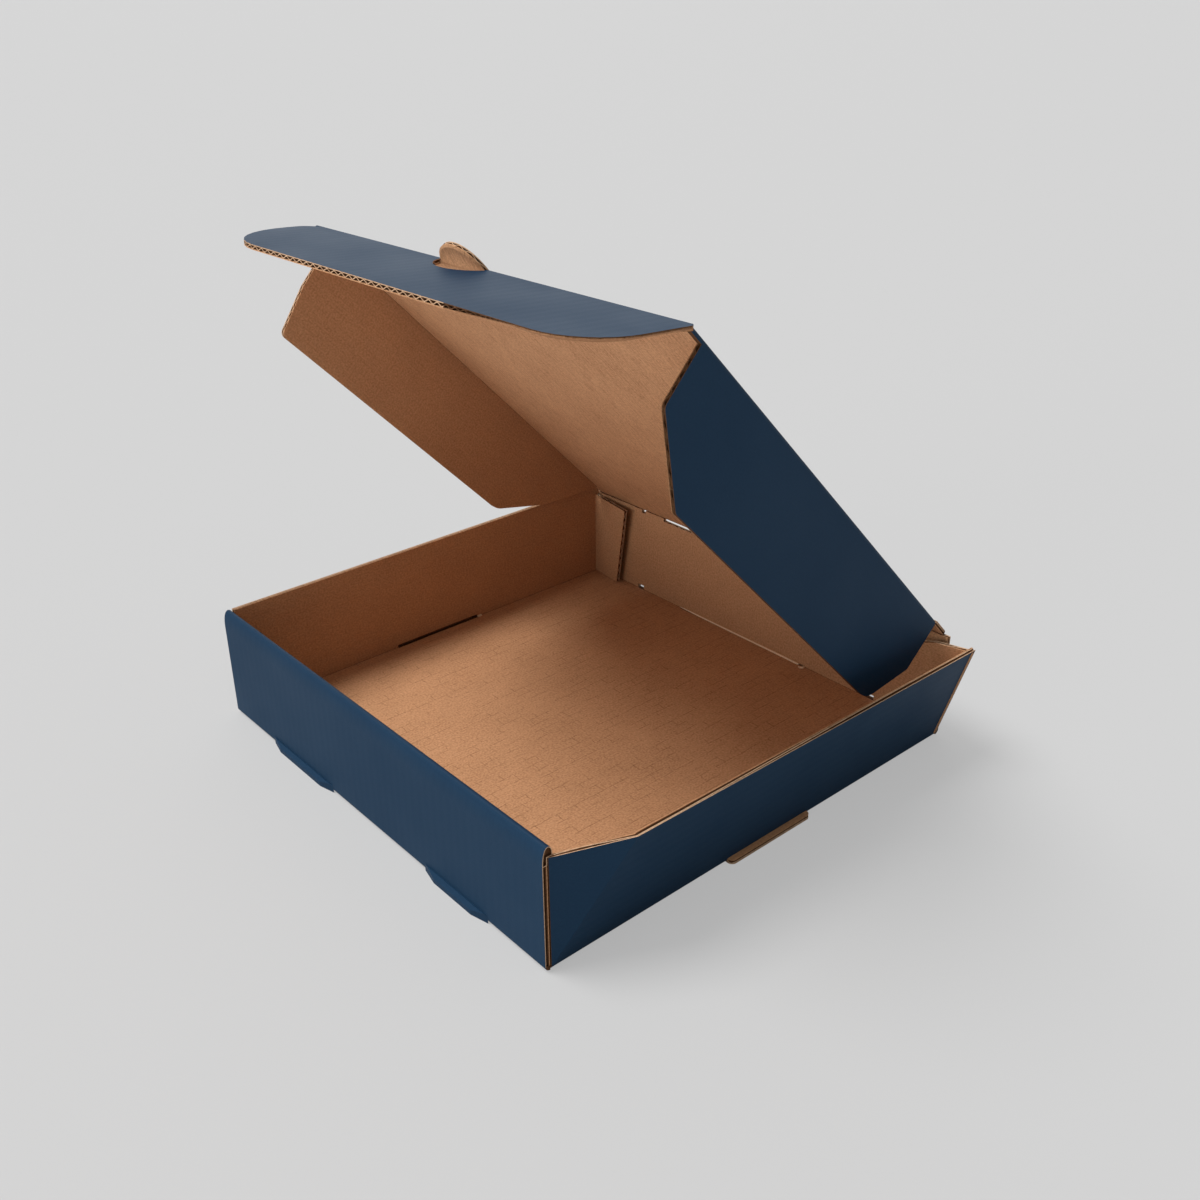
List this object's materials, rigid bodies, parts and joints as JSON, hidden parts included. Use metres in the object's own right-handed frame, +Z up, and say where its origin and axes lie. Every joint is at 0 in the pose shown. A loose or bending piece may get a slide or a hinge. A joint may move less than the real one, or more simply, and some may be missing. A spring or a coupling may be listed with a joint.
{
  "type": "corrugated box with lid",
  "caption": "Shallow die-cut corrugated mailer box, navy outside and kraft inside, with a lid hinged on the back wall and a fold-down front flap.",
  "frame": {"origin": "middle of the underside of the floor", "axes": "+X along the front wall to the right as seen from the front, -Y towards the front, +Z up"},
  "size_m": [0.3232, 0.3026, 0.2948],
  "materials": {
    "tray_board": "navy printed outside, bare kraft inside",
    "lid_board": "navy printed outside, bare kraft inside",
    "flap_board": "navy printed outside, bare kraft inside"
  },
  "bodies": {
    "tray": {"tray": "tray_board"},
    "lid": {"lid": "lid_board"},
    "front_flap": {"front_flap": "flap_board"}
  },
  "joints": [
    {"name": "lid_hinge", "type": "hinge", "parent": "tray", "child": "lid", "pos_m": [0, 0.1486, 0.0662], "axis": [-1, 0, 0], "range_deg": [-44.5, 134.3]},
    {"name": "front_flap_hinge", "type": "hinge", "parent": "lid", "child": "front_flap", "pos_m": [0, -0.06204, 0.28205], "axis": [1, 0, 0], "range_deg": [-42, 46]}
  ]
}
